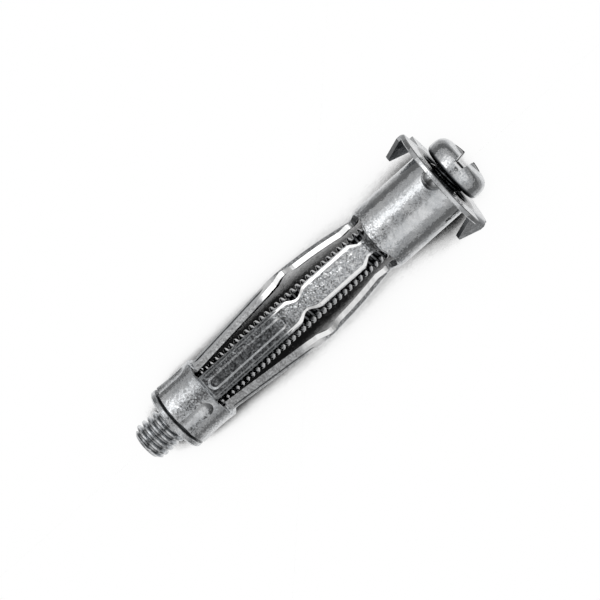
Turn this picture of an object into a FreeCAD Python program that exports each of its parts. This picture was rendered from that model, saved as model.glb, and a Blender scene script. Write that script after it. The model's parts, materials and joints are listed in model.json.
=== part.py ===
"""Hollow wall anchor: a stamped sheet sleeve with four folding legs, a flanged threaded bush in its
collar, and a machine screw with a combined slot and cross recess. Shown as sold, before it is set.
All sizes are in millimetres. The pieces are built along a local X axis that starts at the bush's
outer face and points at the screw's head, then the whole anchor is laid down as it would rest."""

import FreeCAD, Part
import math
import os

V = FreeCAD.Vector

# sleeve: overall sizes
anchor_length = 52.0          # bush's outer face to the flange's underside
sheet = 0.73                  # wall of the stamped sheet
tube_diameter = 10.4
tube_length = 11.95           # plain tube between the slots and the flange
flange_diameter = 17.8
flange_bend = 0.35            # inside radius where the tube turns into the flange
mouth_round = 0.45            # rounded edge where the flange turns into the bore
rim_edge = 0.12               # chamfered edge of the flange's rim

# sleeve: collar that is pressed round the bush
collar_length = 6.0
collar_waist = 0.13           # how far the collar's middle is drawn in
crimp_count = 4
crimp_depth = 0.36
crimp_round = 2.4             # radius of the tool that presses a crimp
crimp_turn = 24.0             # degrees between a crimp and the middle of a leg
crimp_from_legs = 0.85        # from the collar's inner end to the crimps, which run out at its outer end

# sleeve: legs
leg_count = 4
leg_width = 4.2
leg_crown = 0.10              # how far the middle of a leg stands above its shoulders
leg_shoulder = 0.58           # width of the bent shoulder along each edge
leg_edge_drop = 0.88          # how far each edge is bent inwards, from the collar to the fold
leg_edge_drop_head = 0.6      # the same from the fold to the tube
root_drop = 0.6               # the legs start this much below the tube's surface
root_length = 0.45            # from the collar to where the legs run straight
fold_rise = 0.88              # the legs bow out this much above the tube's surface
fold_from_collar = 16.6       # from the collar to the outermost line of the legs
fold_crest = 1.1              # length of the sharp turn before that line
fold_dip = 0.12               # the straight part ends this much below the outermost line
fold_neck_width = 2.3
fold_neck_length = 4.4
fold_neck_shift = 2.15        # from the outermost line to the middle of the neck
head_neck_width = 2.4
head_neck_drop = 0.6          # the legs meet the tube this much below its surface
head_neck_flat = 0.55
head_neck_chamfer = 1.3
slot_round_head = 1.85        # rounded corners of the slots at the tube
slot_round_nut = 0.35         # rounded corners of the slots at the collar
bow_power = 1.9               # how long the upper half of a leg stays out before it falls

# sleeve: stiffening channel that is pressed into each leg between the collar and the fold
channel_width = 2.1
channel_depth = 0.3
channel_wall = 0.4            # width of its sloping sides
channel_from_root = 0.15
channel_past_straight = 0.1   # the channel runs this far into the turn before the fold

# sleeve: claws that are cut from the flange and bent down
claw_count = 2
claw_length = 3.6             # below the flange's underside
claw_bend = 0.10              # inside radius of the bend
claw_tip_width = 0.45
claw_shoulder = 0.55          # the claw keeps its full width this far down
claw_rim_angle = 10.4         # where the fold meets the rim, in degrees from the leg's middle
claw_inner_radius = 6.92      # where the fold ends inside the rim
claw_inner_angle = -12.1
notch_rim_angle = -28.9       # where the relief notch meets the rim
notch_relief = 0.2            # gap beside the bend

# sleeve: two half-round gussets where the tube meets the flange
gusset_count = 2
gusset_radius = 1.75
gusset_turn = -10.0           # degrees from the middle of a leg

# bush
thread_share = 0.671          # part of the sleeve's bore that the bush's thread takes
nut_flange_thickness = 1.0
nut_flange_step = 0.05        # the bush's flange is this much smaller than the tube, on the radius
nut_edge = 0.3                # chamfered rim, half as large on the collar's side
nut_gap = 0.4                 # between the bush's flange and the collar
nut_recess = 0.4              # the bush ends this far inside the collar
nut_lead_in = 0.35

# screw
screw_stick_out = 5.5         # beyond the bush's outer face
head_gap = 0.76               # from the flange's outer face to the underside of the head
screw_tip_chamfer = 0.75
running_clearance = 0.05      # between the screw's crests and the bush, on the radius
head_overlap = 0.43           # how far the head reaches over the tube's bore, on the radius
head_height = 3.78
head_crown_diameter = 6.4
head_crown_rise = 0.5
head_side = 1.4               # height of the head's widest line above its underside
head_under_round = 0.75
drive_slot_width = 1.95       # at the top of the head
drive_slot_floor_width = 1.45
drive_slot_depth = 1.75
cross_width = 1.05
cross_span = 5.2
cross_depth = 2.55
cross_bottom_span = 1.6

# how it lies
lie_side = -90.0              # the side of the rims that it lies on, in degrees from a leg's middle

# sizes that follow from the ones above
tube_radius = tube_diameter / 2
bore_radius = tube_radius - sheet
flange_radius = flange_diameter / 2
flange_under = anchor_length
flange_top = flange_under + sheet
tube_start = flange_under - tube_length
collar_start = nut_flange_thickness + nut_gap
collar_end = collar_start + collar_length
root_start = collar_end + root_length
fold_line = collar_end + fold_from_collar
straight_end = fold_line - fold_crest
neck_line = tube_start - slot_round_head
root_radius = tube_radius - root_drop
fold_radius = tube_radius + fold_rise
straight_end_radius = fold_radius - fold_dip
neck_radius = tube_radius - head_neck_drop
half_leg = leg_width / 2
fold_neck_middle = fold_line + fold_neck_shift
nut_flange_radius = tube_radius - nut_flange_step
nut_bore = thread_share * bore_radius
screw_radius = nut_bore - running_clearance
head_under = flange_top + head_gap
head_radius = bore_radius + head_overlap
embed = 0.3
skin = 0.02


def polygon(points):
    """A flat face through the points."""
    return Part.Face(Part.makePolygon(points + [points[0]]))


def turned(outline):
    """A solid of revolution about the anchor's axis, from points of (along, out)."""
    return polygon([V(along, 0, out) for along, out in outline]).revolve(V(0, 0, 0), V(1, 0, 0), 360)


def corner(centre, radius, degrees):
    """A point on a circle in the XZ plane, as (along, out)."""
    angle = math.radians(degrees)
    return (centre[0] + radius * math.cos(angle), centre[1] + radius * math.sin(angle))


def around(shape, degrees):
    copy = shape.copy()
    copy.rotate(V(0, 0, 0), V(1, 0, 0), degrees)
    return copy


def pattern(shape, count, start=0.0):
    return [around(shape, start + 360.0 * i / count) for i in range(count)]


def ease(t):
    t = min(max(t, 0.0), 1.0)
    return t * t * (3 - 2 * t)


def on_flange(radius, degrees):
    """A point in the flange's plane: angles are measured from the Y axis towards Z."""
    angle = math.radians(degrees)
    return V(0, radius * math.cos(angle), radius * math.sin(angle))


def tube_and_flange():
    """The tube and its flange, one sheet that turns through a small bend."""
    bend = (flange_under - flange_bend, tube_radius + flange_bend)
    mouth = (flange_top - mouth_round, bore_radius + mouth_round)
    outline = [(tube_start, bore_radius), (tube_start, tube_radius)]
    outline += [corner(bend, flange_bend, -90 + 22.5 * i) for i in range(5)]
    outline += [(flange_under, flange_radius - rim_edge), (flange_under + rim_edge, flange_radius)]
    outline += [(flange_top - rim_edge, flange_radius), (flange_top, flange_radius - rim_edge)]
    outline += [corner(mouth, mouth_round, -22.5 * i) for i in range(5)]
    return turned(outline)


def collar():
    """The ring that grips the bush, drawn in a little at its middle."""
    outline = [(collar_end, bore_radius), (collar_start, bore_radius)]
    for i in range(7):
        share = i / 3 - 1
        outline.append((collar_start + collar_length * i / 6, tube_radius - collar_waist * (1 - share * share)))
    return turned(outline)


def capsule(start, end, radius):
    """A round-ended bar between two points."""
    run = end.sub(start)
    bar = Part.makeCylinder(radius, run.Length, start, run)
    return bar.fuse([Part.makeSphere(radius, start), Part.makeSphere(radius, end)])


def crimps():
    """Tools that press oval dents into the collar."""
    out = tube_radius - collar_waist + crimp_round - crimp_depth
    foot = math.sqrt(crimp_round ** 2 - (crimp_round - crimp_depth) ** 2)
    start = collar_start - 2 * crimp_round
    end = collar_end - crimp_from_legs - foot
    tool = capsule(V(start, 0, out), V(end, 0, out), crimp_round)
    return pattern(tool, crimp_count, crimp_turn)


def leg_radius(s):
    """Height of the middle of a leg above the anchor's axis."""
    if s <= collar_end:
        return tube_radius
    if s <= root_start:
        return tube_radius - root_drop * ease((s - collar_end) / root_length)
    if s <= straight_end:
        part = (s - root_start) / (straight_end - root_start)
        return root_radius + (straight_end_radius - root_radius) * part
    if s <= fold_line:
        part = (s - straight_end) / fold_crest
        return straight_end_radius + fold_dip * math.sin(part * math.pi / 2)
    if s <= neck_line:
        part = (s - fold_line) / (neck_line - fold_line)
        return fold_radius - (fold_radius - neck_radius) * part ** bow_power
    return neck_radius + head_neck_drop * ease((s - neck_line) / slot_round_head)


def leg_half_width(s):
    """Half the leg's width: flared at both ends, narrow at both necks."""
    if s <= collar_end:
        return half_leg + slot_round_nut
    if s < collar_end + slot_round_nut:
        rest = slot_round_nut - (s - collar_end)
        return half_leg + slot_round_nut - math.sqrt(slot_round_nut ** 2 - rest ** 2)
    off = (s - fold_neck_middle) / (fold_neck_length / 2)
    if abs(off) < 1:
        return half_leg - (leg_width - fold_neck_width) / 2 * math.cos(off * math.pi / 2) ** 2
    chamfer_end = neck_line - head_neck_flat
    if s > neck_line:
        rise = min(s - neck_line, slot_round_head)
        flare = slot_round_head - math.sqrt(max(slot_round_head ** 2 - rise ** 2, 0.0))
        return head_neck_width / 2 + flare
    if s > chamfer_end:
        return head_neck_width / 2
    if s > chamfer_end - head_neck_chamfer:
        part = (s - chamfer_end + head_neck_chamfer) / head_neck_chamfer
        return half_leg - (leg_width - head_neck_width) / 2 * part
    return half_leg


def leg_roundness(s):
    """1 where the leg follows the tube's round, 0 where it is pressed to its own section."""
    if s <= root_start:
        return 1 - ease((s - collar_end) / root_length)
    return ease((s - neck_line) / slot_round_head)


def leg_section(s, shrink=0.0):
    """Closed outline of a leg across the anchor's axis: a shallow channel with bent edges."""
    out = leg_radius(s) - shrink
    half = leg_half_width(s)
    share = half / half_leg
    shoulder = max(half - leg_shoulder * share, 0.3 * half)
    round_radius = tube_radius - shrink
    arc_shoulder = round_radius - math.sqrt(max(round_radius ** 2 - shoulder ** 2, 0.0))
    arc_edge = round_radius - math.sqrt(max(round_radius ** 2 - half ** 2, 0.0))
    k = leg_roundness(s)
    drop_shoulder = k * arc_shoulder + (1 - k) * leg_crown * share
    towards_head = ease((s - fold_line) / fold_neck_length)
    pressed = leg_edge_drop + (leg_edge_drop_head - leg_edge_drop) * towards_head
    drop_edge = k * arc_edge + (1 - k) * pressed * share ** 1.5
    steep = 4 * k * (1 - k)
    wall = sheet * (1 + 0.3 * steep) - 2 * shrink
    inner_half = half - 0.12 * wall
    inner_shoulder = shoulder - 0.25 * wall * (1 - k)
    edge_wall = wall * (1.08 - 0.16 * k)
    points = [
        V(s, -half, out - drop_edge),
        V(s, -shoulder, out - drop_shoulder),
        V(s, 0, out),
        V(s, shoulder, out - drop_shoulder),
        V(s, half, out - drop_edge),
        V(s, inner_half, out - drop_edge - edge_wall),
        V(s, inner_shoulder, out - drop_shoulder - wall),
        V(s, 0, out - wall),
        V(s, -inner_shoulder, out - drop_shoulder - wall),
        V(s, -inner_half, out - drop_edge - edge_wall),
    ]
    return Part.makePolygon(points + [points[0]])


def steps(start, end, count):
    return [start + (end - start) * i / count for i in range(1, count + 1)]


def leg():
    """One leg, lofted through its sections, with a hollow-backed bead on its lower half."""
    neck_start = fold_neck_middle - fold_neck_length / 2
    neck_end = fold_neck_middle + fold_neck_length / 2
    chamfer_start = neck_line - head_neck_flat - head_neck_chamfer
    stations = [collar_end - embed, collar_end]
    stations += steps(collar_end, root_start, 4)
    stations += [straight_end]
    stations += steps(straight_end, fold_line, 3)
    stations += steps(max(neck_start, fold_line), neck_end, 9)
    stations += steps(neck_end, chamfer_start, 4)
    stations += [neck_line - head_neck_flat, neck_line]
    stations += steps(neck_line, tube_start, 5)
    sections = [leg_section(s, skin) for s in stations]
    end = leg_section(tube_start, skin)
    end.translate(V(embed, 0, 0))
    body = Part.makeLoft(sections + [end], True, True)
    return body.fuse(channel_print(sheet, channel_wall)).cut(channel_print(0, 0))


def channel_print(below, wider):
    """The pressed channel's form, sunk below the leg's surface and widened on every side."""
    run = V(straight_end - root_start, 0, straight_end_radius - root_radius)
    along = V(run.x / run.Length, 0, run.z / run.Length)
    out = V(-along.z, 0, along.x)
    first = V(root_start, 0, root_radius) + along * (channel_from_root + channel_width / 2)
    last = V(root_start, 0, root_radius) + along * (run.Length + channel_past_straight - channel_width / 2)
    slope = channel_wall / channel_depth
    rings = []
    for depth in (below + channel_depth, below - sheet / 2):
        half = channel_width / 2 - slope * (depth - below) + wider
        low, high = first - out * depth, last - out * depth
        side = V(0, half, 0)
        edges = [
            Part.makeLine(low + side, high + side),
            Part.Arc(high + side, high + along * half, high - side).toShape(),
            Part.makeLine(high - side, low - side),
            Part.Arc(low - side, low - along * half, low + side).toShape(),
        ]
        rings.append(Part.Wire(edges))
    return Part.makeLoft(rings, True, True)


def claw_frame():
    """Ends of the claw's fold, the direction along it and the direction out of it."""
    first = on_flange(flange_radius, claw_rim_angle)
    last = on_flange(claw_inner_radius, claw_inner_angle)
    along = last.sub(first)
    along.normalize()
    out = V(0, -along.z, along.y)
    if out.dot(first) < 0:
        out = out * -1
    return first, last, along, out


def claw():
    """A pointed claw: a strip bent down out of the flange's plane, trimmed to a triangle."""
    first, last, along, out = claw_frame()
    turn = claw_bend + sheet
    tip = flange_under - claw_length
    mid = math.sqrt(0.5)
    a = first + V(flange_top, 0, 0) - out * (turn + sheet)
    b = first + V(flange_top, 0, 0) - out * turn
    c = first + V(flange_top - turn + turn * mid, 0, 0) - out * (turn - turn * mid)
    d = first + V(flange_top - turn, 0, 0)
    e = first + V(tip, 0, 0)
    f = first + V(tip, 0, 0) - out * sheet
    g = first + V(flange_top - turn, 0, 0) - out * sheet
    h = first + V(flange_top - turn + claw_bend * mid, 0, 0) - out * (turn - claw_bend * mid)
    i = first + V(flange_under, 0, 0) - out * turn
    j = first + V(flange_under, 0, 0) - out * (turn + sheet)
    edges = [Part.makeLine(a, b), Part.Arc(b, c, d).toShape(), Part.makeLine(d, e)]
    edges += [Part.makeLine(e, f), Part.makeLine(f, g), Part.Arc(g, h, i).toShape()]
    edges += [Part.makeLine(i, j), Part.makeLine(j, a)]
    width = last.sub(first).Length
    strip = Part.Face(Part.Wire(edges)).extrude(along * width)
    reach = turn + 2 * sheet
    base = first - out * reach
    shoulder = flange_under - claw_shoulder
    outline = [
        base + V(flange_top + sheet, 0, 0),
        base + V(shoulder, 0, 0),
        base + V(tip, 0, 0) + along * (width - claw_tip_width) * 0.5,
        base + V(tip, 0, 0) + along * (width + claw_tip_width) * 0.5,
        base + V(shoulder, 0, 0) + along * width,
        base + V(flange_top + sheet, 0, 0) + along * width,
    ]
    return strip.common(polygon(outline).extrude(out * (reach + sheet)))


def claw_notch():
    """The part of the flange that the claw was cut from, with a relief beside the bend."""
    first, last, along, out = claw_frame()
    turn = claw_bend + sheet
    rim = on_flange(flange_radius, notch_rim_angle)
    far = on_flange(2 * flange_radius, notch_rim_angle)
    inner = last - out * turn
    low = V(flange_under - sheet, 0, 0)
    outline = [
        low + first - out * turn - along * flange_radius,
        low + inner,
        low + inner + along * notch_relief,
        low + rim,
        low + far,
        low + first + out * 2 * flange_radius - along * flange_radius,
    ]
    return polygon(outline).extrude(V(3 * sheet, 0, 0))


def gusset():
    """A half-round bump pressed into the corner between the tube and the flange."""
    ball = Part.makeSphere(gusset_radius, V(flange_under, 0, tube_radius))
    reach = gusset_radius + sheet
    low, high = flange_under - reach, flange_under + sheet / 2
    inner, outer = tube_radius - sheet / 2, tube_radius + reach
    return ball.common(turned([(low, inner), (high, inner), (high, outer), (low, outer)]))


def gusset_dimple():
    return Part.makeSphere(max(gusset_radius - sheet, 0.2), V(flange_under, 0, tube_radius))


def sleeve():
    """The whole stamping: flange with claws, tube, legs and collar, in one piece."""
    body = tube_and_flange()
    body = body.cut(pattern(claw_notch(), claw_count))
    body = body.fuse(pattern(claw(), claw_count))
    body = body.fuse(pattern(gusset(), gusset_count, gusset_turn))
    body = body.cut(pattern(gusset_dimple(), gusset_count, gusset_turn))
    body = body.fuse(collar().cut(crimps()))
    body = body.fuse(pattern(leg(), leg_count))
    return body.removeSplitter()


def nut():
    """The bush: a thin flange outside the collar and a plain body inside it."""
    body_end = collar_end - nut_recess
    edge = nut_flange_radius
    bore = nut_bore
    soft = nut_edge / 2
    return turned([
        (0, bore + nut_lead_in),
        (0, edge - nut_edge),
        (nut_edge, edge),
        (nut_flange_thickness - soft, edge),
        (nut_flange_thickness, edge - soft),
        (nut_flange_thickness, bore_radius),
        (body_end, bore_radius),
        (body_end, bore + nut_lead_in),
        (body_end - nut_lead_in, bore),
        (nut_lead_in, bore),
    ])


def screw():
    """The machine screw: round-shouldered head, full-length shank at the thread's outer size."""
    tip = -screw_stick_out
    under = head_under
    top = under + head_height
    shank = screw_radius
    head = head_radius
    crown = head_crown_diameter / 2
    widest = under + head_side
    shoulder = top - head_crown_rise
    low = (under + head_under_round, head - head_under_round)
    outline = [(tip, 0), (tip, shank - screw_tip_chamfer), (tip + screw_tip_chamfer, shank), (under, shank)]
    outline += [corner(low, head_under_round, turn) for turn in (180, 150, 120, 90)]
    for turn in range(0, 91, 15):
        rise = (shoulder - widest) * math.sin(math.radians(turn)) ** 0.94
        outline.append((widest + rise, crown + (head - crown) * math.cos(math.radians(turn)) ** 0.9))
    for share in (0.6, 0.3):
        outline.append((top - head_crown_rise * share ** 2, crown * share))
    outline.append((top, 0))
    body = turned(outline)
    flare = (drive_slot_width - drive_slot_floor_width) / 2 / drive_slot_depth
    high = drive_slot_width / 2 + flare * head_height
    groove = [
        V(top - drive_slot_depth, -drive_slot_floor_width / 2, -2 * head),
        V(top - drive_slot_depth, drive_slot_floor_width / 2, -2 * head),
        V(top + head_height, high, -2 * head),
        V(top + head_height, -high, -2 * head),
    ]
    slot = polygon(groove).extrude(V(0, 0, 4 * head))
    wing = [
        V(top + 1, -cross_width / 2, -cross_span / 2),
        V(top + 1, -cross_width / 2, cross_span / 2),
        V(top - head_crown_rise, -cross_width / 2, cross_span / 2),
        V(top - cross_depth, -cross_width / 2, cross_bottom_span / 2),
        V(top - cross_depth, -cross_width / 2, -cross_bottom_span / 2),
        V(top - head_crown_rise, -cross_width / 2, -cross_span / 2),
    ]
    blade = polygon(wing).extrude(V(0, cross_width, 0))
    core = Part.makeCone(
        cross_bottom_span / 2, cross_span / 3, cross_depth + 1, V(top - cross_depth, 0, 0), V(1, 0, 0)
    )
    return body.cut([slot, around(blade, 90), blade, core])


def laid_down(shapes):
    """Turns the anchor so that it lies on the rims of its flange and its bush, with +X pointing at
    the screw's tip, and puts the origin under the middle of its outline."""
    run = flange_under + rim_edge - nut_edge
    lean = math.degrees(math.atan2(flange_radius - nut_flange_radius, run))
    for shape in shapes:
        shape.rotate(V(0, 0, 0), V(1, 0, 0), -90 - lie_side)
        shape.rotate(V(0, 0, 0), V(0, 0, 1), 180)
        shape.rotate(V(0, 0, 0), V(0, 1, 0), lean)
    box = FreeCAD.BoundBox()
    for shape in shapes:
        box.add(shape.optimalBoundingBox(False, False))
    shift = V(-box.Center.x, -box.Center.y, -box.ZMin)
    for shape in shapes:
        shape.translate(shift)
    return lean, shift


def main():
    os.makedirs("parts", exist_ok=True)
    pieces = {"sleeve": sleeve(), "nut": nut(), "screw": screw()}
    lean, shift = laid_down(list(pieces.values()))
    for name, shape in pieces.items():
        shape.exportStep("parts/" + name + ".step")
        print(name, "solids", len(shape.Solids), "faces", len(shape.Faces), "valid", shape.isValid())
        print("  volume", round(shape.Volume, 2), "mm3")
    print("lean", round(lean, 4))
    print("shift", round(shift.x, 4), round(shift.y, 4), round(shift.z, 4))


main()
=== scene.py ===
import json
import math

import bmesh
import bpy
from mathutils import Matrix, Vector


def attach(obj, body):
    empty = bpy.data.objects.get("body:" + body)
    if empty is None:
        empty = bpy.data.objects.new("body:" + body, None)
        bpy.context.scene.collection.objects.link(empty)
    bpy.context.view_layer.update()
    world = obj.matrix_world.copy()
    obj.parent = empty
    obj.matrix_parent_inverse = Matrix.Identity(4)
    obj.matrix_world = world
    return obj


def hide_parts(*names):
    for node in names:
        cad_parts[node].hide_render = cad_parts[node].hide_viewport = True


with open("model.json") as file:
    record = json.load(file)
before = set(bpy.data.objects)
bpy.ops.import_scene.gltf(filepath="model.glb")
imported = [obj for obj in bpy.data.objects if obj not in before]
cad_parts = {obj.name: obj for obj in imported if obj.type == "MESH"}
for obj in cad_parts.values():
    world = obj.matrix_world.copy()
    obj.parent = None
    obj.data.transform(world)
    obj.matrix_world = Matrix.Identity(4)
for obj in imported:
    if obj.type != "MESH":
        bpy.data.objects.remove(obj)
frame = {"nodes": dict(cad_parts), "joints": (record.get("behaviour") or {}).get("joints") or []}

bl_info = {
    "name": "Hollow Wall Anchor",
    "version": (1, 0, 0),
    "blender": (4, 5, 0),
    "location": "View3D > Sidebar > Wall Anchor",
    "description": "Dresses a hollow wall anchor: a threaded machine screw, zinc finishes and a light tent",
    "category": "Object",
}

MM = 0.001

# kinds of node that are used over and over, and the colour sockets of a Mix node
MATHS = "ShaderNodeMath"
VECTORS = "ShaderNodeVectorMath"
MIX_FIRST, MIX_SECOND, MIX_RESULT = 6, 7, 2

# how finely round forms are drawn
HEAD_SEGMENTS = 96
CONE_SEGMENTS = 24
THREAD_SEGMENTS = 60
THREAD_ROWS = 16
EDGE_STEPS = 6
SHOULDER_STEPS = 12

# from which angle an edge is softened, and up to which it is shaded smooth
SHARP_EDGE = math.radians(40)
SMOOTH_UP_TO = math.radians(38)

# shares of the thread's pitch that its root and its crest take up, and how rounded its flanks are
ROOT_SHARE = 0.24
CREST_SHARE = 0.28
FLANK_ROUNDING = 0.55
MERGE_WITHIN = 0.002 * MM

# Widths of the finish's patterns in millimetres. The clouds are the plating's slow change of tone, the
# waves are what the rolls and the press leave, and the specks break up the painted shade on the legs'
# lower panels.
# The crystals of plated zinc are too fine to show, so they are drawn as coarse as the picture needs.
CLOUD_WIDTH = 2.857
WAVE_WIDTH = 1.111
SHADE_SPECK_WIDTH = 0.3571
CRYSTAL_WIDTH = 0.1613

# How the finish changes along the anchor, as stops of (millimetres from the bush's outer face, level).
# The collar ends at 7, the legs fold at 23.6, the tube starts at 40, the flange ends at 52.7.
SHEET_GRAIN = (
    (0.0, 0.5),
    (6.5, 0.5),
    (8.5, 0.6),
    (21.0, 0.6),
    (23.0, 1.0),
    (36.5, 1.0),
    (40.5, 0.7),
    (44.0, 0.28),
    (60.0, 0.25),
)
# LOWER_LEGS_DIM and LOWER_PANELS place painted shade: a darker tone on the lower legs and specks of shade
# on their lower panels
LOWER_LEGS_DIM = ((0.0, 0.0), (6.5, 0.0), (8.5, 0.55), (20.5, 0.55), (22.5, 0.0), (60.0, 0.0))
LOWER_PANELS = ((0.0, 0.0), (6.8, 0.0), (8.5, 1.0), (20.0, 1.0), (22.0, 0.0), (60.0, 0.0))
# TUBE_MOUTH, BUSH_GROOVE and THREAD_ROOTS place painted shade in the tube's mouth, the bush's groove and
# the thread's roots
TUBE_MOUTH = ((0.0, 0.0), (51.5, 0.0), (52.3, 1.0), (60.0, 1.0))
BUSH_GROOVE = ((-1.0, 0.0), (0.86, 0.0), (0.98, 1.0), (10.0, 1.0))
THREAD_ROOTS = ((-10.0, 0.45), (0.5, 0.45), (2.0, 1.0), (60.0, 1.0))

# the same across the anchor, by the millimetres from its axis or from a leg's middle
# TUBE_BORE places painted shade in the tube's bore, FROM_LEG_MIDDLE the painted highlight on the legs'
# edges
TUBE_BORE = ((0.0, 1.0), (5.4, 1.0), (6.3, 0.0), (10.0, 0.0))
FROM_LEG_MIDDLE = ((0.0, 1.0), (1.85, 1.0), (1.97, 0.3), (3.0, 0.3))

# which faces are picked, as stops of (how straight they look along a direction, level)
# the shoulder and cut faces take the painted highlight, the flat and the inner faces the painted shade
SHOULDER_FACES = ((0.0, 0.0), (0.3, 0.0), (0.5, 1.0), (1.0, 1.0))
CUT_FACES = ((0.0, 0.0), (0.66, 0.0), (0.84, 1.0), (1.0, 1.0))
FLAT_FACES = ((0.0, 0.0), (0.8, 0.0), (0.9, 1.0), (1.0, 1.0))
INNER_FACES = ((-1.0, 1.0), (-0.5, 1.0), (-0.3, 0.0), (1.0, 0.0))

# the tone of the zinc: what the clouds and the crystals add, and how it changes the roughness
CLOUD_RANGE = (0.35, 0.65)
TONE_RANGE = (0.2, 0.8)
CRYSTAL_TONE = 1.6
ROUGHNESS_AT_DULL = 0.04
ROUGHNESS_BY_TONE = -0.08

# the painted shade on the legs' lower panels: its usual share, what specks and crystals change of it,
# and how far from straight out the faces look that take it fully
PANEL_SHADE_SHARE = 0.42
PANEL_SHADE_BY_SPECK = 3.2
PANEL_SHADE_BY_CRYSTAL = -1.3
PANEL_SHADE_LEAN = 0.35

# how high the waves stand on a smooth sheet, and how much higher where its grain is strongest
WAVES_SMOOTH = 0.4
WAVES_BY_GRAIN = 0.6

# how strong the painted highlight on a leg's edge is below the fold, on the legs on top and below and on
# the side legs, and how far an edge's rounding leans outwards where it has its painted highlight
UPRIGHT_BELOW_FOLD = 0.15
SIDE_BELOW_FOLD = 0.4
SHOULDER_LEAN = 1.5
CUT_FACE_LEAN = 0.75

# how much painted shade the sheet's inner faces and the shank inside the sleeve take
INNER_SHADE = 0.85
SHANK_SHADE = 0.78

# The floor. OPEN is how open its sky is within a short reach: about 0.68 just outside the anchor, 0.5
# to 0.6 close to it, 0.3 to 0.45 seen through its gaps. Where it is low, OPEN_TO_SHADE darkens the paper's
# colour: a painted shadow. POOL is a painted pool of light: how bright the floor glows in the metal, by
# metres from its middle, with the length of the pool drawn in by POOL_SHAPE.
OPEN_REACH = 14 * MM
OPEN_SAMPLES = 32
OPEN_TO_WHITE = ((0.3, 0.0), (0.5, 0.0), (0.57, 0.85), (0.67, 0.97), (1.0, 1.0))
OPEN_TO_SHADE = ((0.2, 0.02), (0.5, 0.04), (0.57, 0.5), (0.68, 1.0), (1.0, 1.0))
POOL_SHAPE = (0.3, 1.0, 0.0)
POOL = ((0.0, 0.95), (0.012, 0.9), (0.017, 0.45), (0.024, 0.33), (0.034, 0.15), (0.1, 0.12))
POOL_STRENGTH = 0.9
FLOOR_HALF = 6.0

# The tent, by parts of the direction that is looked in: its height, its part towards the tip's end,
# and how straight it points at the lens.
TENT_WALL = ((-1.0, 0.45), (0.1, 0.45), (0.45, 0.57), (0.68, 1.0), (1.0, 1.0))
TENT_ROOF = ((-1.0, 0.0), (0.86, 0.0), (0.93, 0.25), (0.985, 1.0), (1.0, 1.0))
TENT_ROOF_END = ((-1.0, 1.0), (0.12, 1.0), (0.34, 0.0), (1.0, 0.0))
TENT_GAP = ((-1.0, 1.0), (-0.04, 1.0), (0.03, 0.0), (1.0, 0.0))
TENT_LENS = ((-1.0, 0.0), (0.975, 0.0), (0.988, 0.5), (0.996, 1.0), (1.0, 1.0))
NEARLY_NONE = 0.001

# the key lamp: a soft square high above the anchor, on the side that ACROSS points to
KEY_PLACE = Vector((0.08, -0.31, 0.44))
KEY_SIZE = 0.18
KEY_WATTS = 0.07

# how the anchor lies: along its axis from the bush's outer face to the head, across it, and out
# through the middle of the leg that is on top; s, u and w are its own millimetres in these directions
SCREW_JOINT = frame["joints"][0]
FACE = Vector(SCREW_JOINT["pos_m"])
ALONG = -Vector(SCREW_JOINT["axis"]).normalized()
ACROSS = Vector((0.0, -1.0, 0.0))
OUT = ALONG.cross(ACROSS)
LIE = Matrix((ALONG, ACROSS, OUT)).transposed()
PLACE = Matrix.Translation(FACE) @ LIE.to_4x4()


def linear(colour):
    """An sRGB hex colour as the linear RGBA that Blender's sockets take."""
    parts = [int(colour[i:i + 2], 16) / 255 for i in (1, 3, 5)]
    parts = [p / 12.92 if p <= 0.04045 else ((p + 0.055) / 1.055) ** 2.4 for p in parts]
    return (*parts, 1.0)


def add(tree, kind, inputs=(), **settings):
    """Adds a node with its settings. Its inputs are given by name or number, or in their order, and
    each takes a value, a link from a socket or a link from another node's first output."""
    node = tree.nodes.new(kind)
    for name, value in settings.items():
        setattr(node, name, value)
    given = inputs if isinstance(inputs, dict) else dict(enumerate(inputs))
    for key, value in given.items():
        if isinstance(value, bpy.types.Node):
            value = value.outputs[0]
        if isinstance(value, bpy.types.NodeSocket):
            tree.links.new(value, node.inputs[key])
        else:
            node.inputs[key].default_value = value
    return node


def ramp(tree, value, stops):
    """A smooth level that follows a value through the given stops of (value, level)."""
    low, high = stops[0][0], stops[-1][0]
    share = add(tree, "ShaderNodeMapRange", {"Value": value, "From Min": low, "From Max": high})
    node = add(tree, "ShaderNodeFloatCurve", {"Value": share})
    curve = node.mapping.curves[0]
    tallest = max(level for place, level in stops)
    for i, (place, level) in enumerate(stops):
        spot = ((place - low) / (high - low), level / tallest)
        if i in (0, len(stops) - 1):
            curve.points[0 if i == 0 else -1].location = spot
        else:
            curve.points.new(*spot)
    for point in curve.points:
        point.handle_type = "AUTO_CLAMPED"
    node.mapping.update()
    return add(tree, MATHS, (node, tallest), operation="MULTIPLY")


def new_tree(name):
    """An empty node material and its tree."""
    material = bpy.data.materials.new(name)
    material.use_nodes = True
    material.node_tree.nodes.clear()
    return material, material.node_tree


def anchor_millimetres(tree):
    """Object coordinates in the anchor's own millimetres: along the axis, across it and out of it."""
    place = add(tree, "ShaderNodeTexCoord").outputs["Object"]
    settings = {"Vector": place, "Location": FACE, "Rotation": LIE.to_euler(), "Scale": (MM, MM, MM)}
    return add(tree, "ShaderNodeMapping", settings, vector_type="TEXTURE")


def link_piece(name, mesh, node, body):
    """Puts a finished mesh in the scene as a piece that stands for a node and moves with its body."""
    piece = bpy.data.objects.new(name, mesh)
    bpy.context.scene.collection.objects.link(piece)
    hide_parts(node)
    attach(piece, body)
    return piece


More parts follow.
